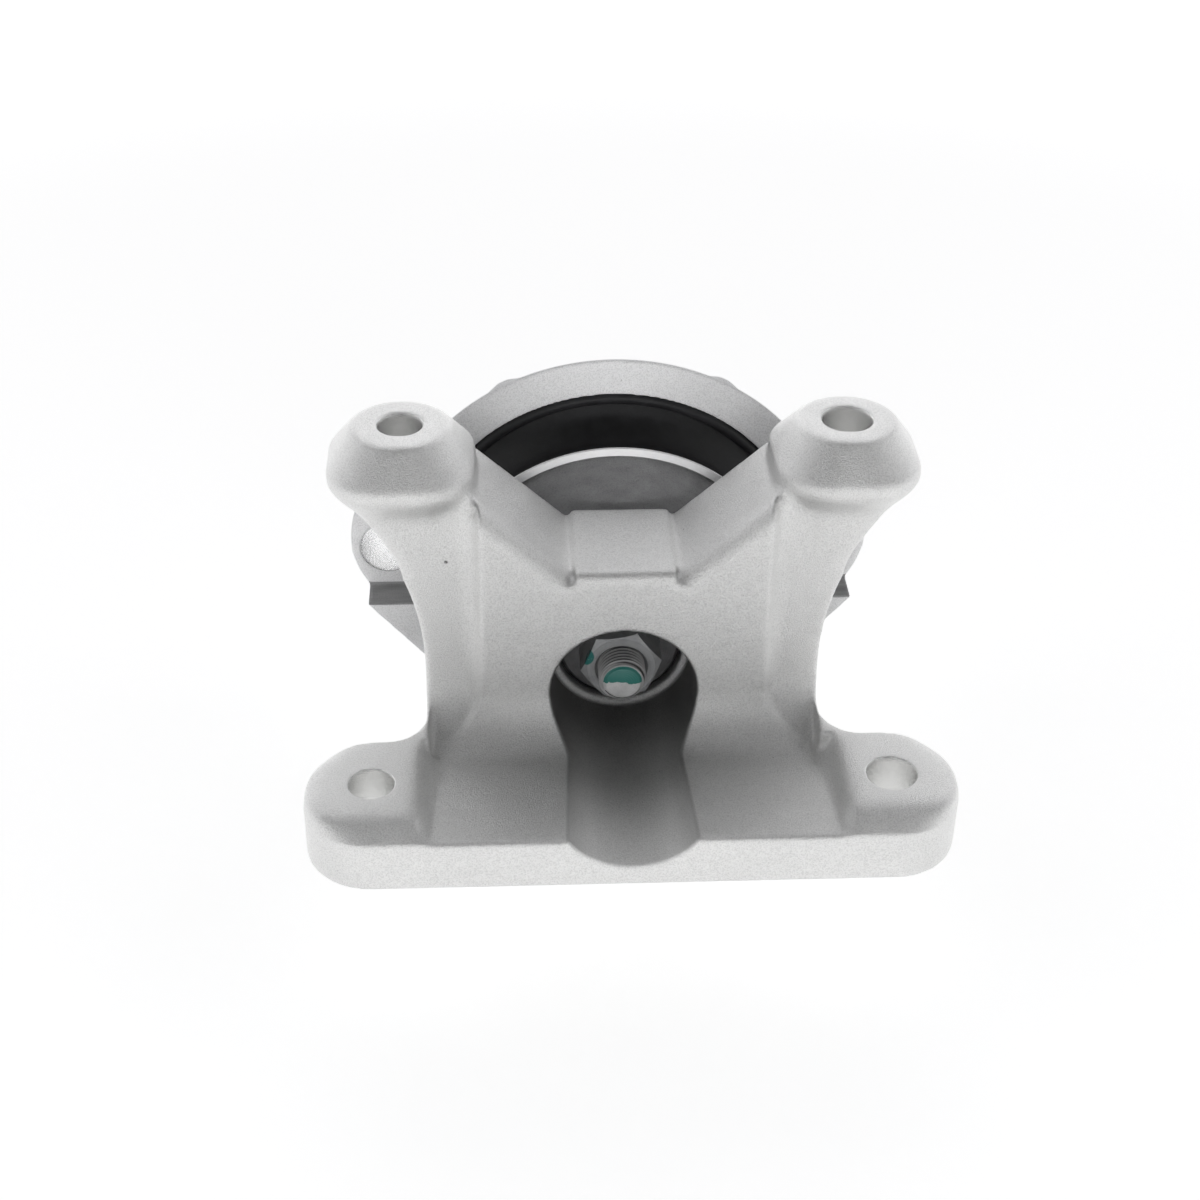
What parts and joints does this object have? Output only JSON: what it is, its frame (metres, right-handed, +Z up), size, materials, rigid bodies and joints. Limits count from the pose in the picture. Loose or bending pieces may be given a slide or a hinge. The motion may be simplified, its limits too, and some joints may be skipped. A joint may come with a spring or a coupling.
{
  "type": "transmission mount",
  "caption": "Transmission mount: cast aluminium bracket with bolt bosses and a base bar, nutted to the core of a conical rubber spring in a cast housing with two ears.",
  "frame": {"origin": "centre of the housing's flat rear mounting face, on the stud's axis", "axes": "+X across to the right seen from the bracket's front, +Y along the stud's axis to the rear, out of the mounting face, +Z up towards the bosses"},
  "size_m": [0.1574, 0.1395, 0.1292],
  "materials": {
    "cast_bracket": "fine as-cast and blasted skin",
    "cast_housing": "as-cast skin",
    "core_alloy": "turned lip and as-cast cone",
    "spring_rubber": "matt",
    "liner_steel": "phosphated",
    "fastener_steel": "zinc plated, with a dab of teal marking paint on the stud's end"
  },
  "bodies": {
    "root": {"support_bracket": "cast_bracket", "hex_nut": "fastener_steel", "washer": "fastener_steel", "stud": "fastener_steel", "core": "core_alloy", "rubber_spring": "spring_rubber", "liner": "liner_steel", "bump_stop": "spring_rubber", "housing": "cast_housing"}
  },
  "joints": []
}
